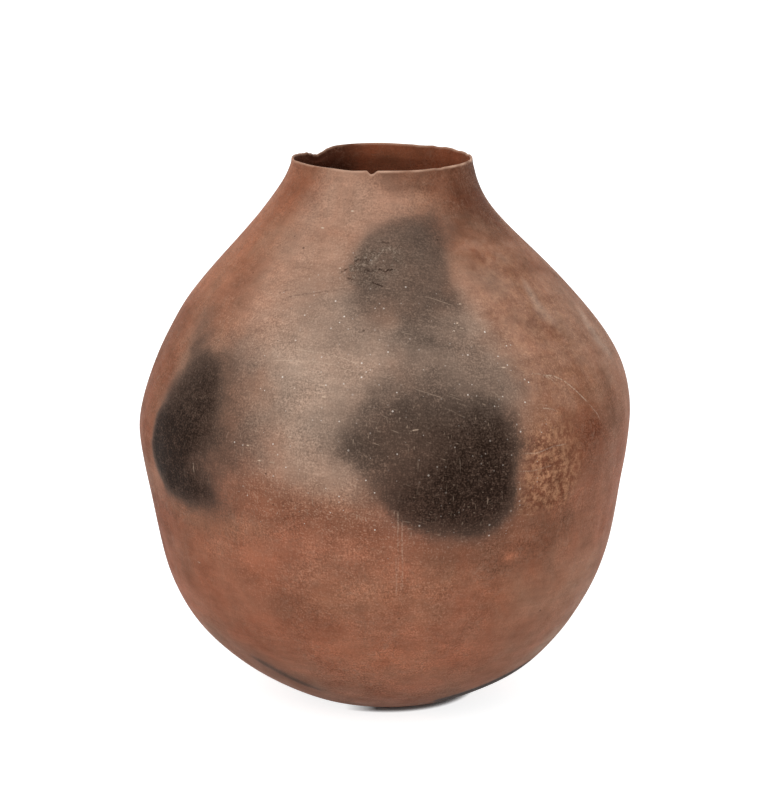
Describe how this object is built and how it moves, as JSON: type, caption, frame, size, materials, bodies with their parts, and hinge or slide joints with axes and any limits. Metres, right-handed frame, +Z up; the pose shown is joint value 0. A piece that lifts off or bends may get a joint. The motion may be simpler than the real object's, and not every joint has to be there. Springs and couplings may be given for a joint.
{
  "type": "water jar",
  "caption": "Round-bellied hand-built earthenware olla: a burnished water jar with a rounded bottom, a sloping shoulder, a short flared neck and a thin rim, open at the top.",
  "frame": {"origin": "centre of the worn flat that the jar stands on", "axes": "+Z up the axis of the jar, through the middle of the mouth; -Y towards the viewer; +X to the right of the picture"},
  "size_m": [0.38, 0.3798, 0.422],
  "materials": {
    "earthenware": "satin"
  },
  "bodies": {
    "root": {"moulded_bowl": "earthenware", "coil_course_1": "earthenware", "coil_course_2": "earthenware", "coil_course_3": "earthenware", "coil_course_4": "earthenware", "coil_course_5": "earthenware", "neck_course": "earthenware", "rim_coil": "earthenware"}
  },
  "joints": []
}
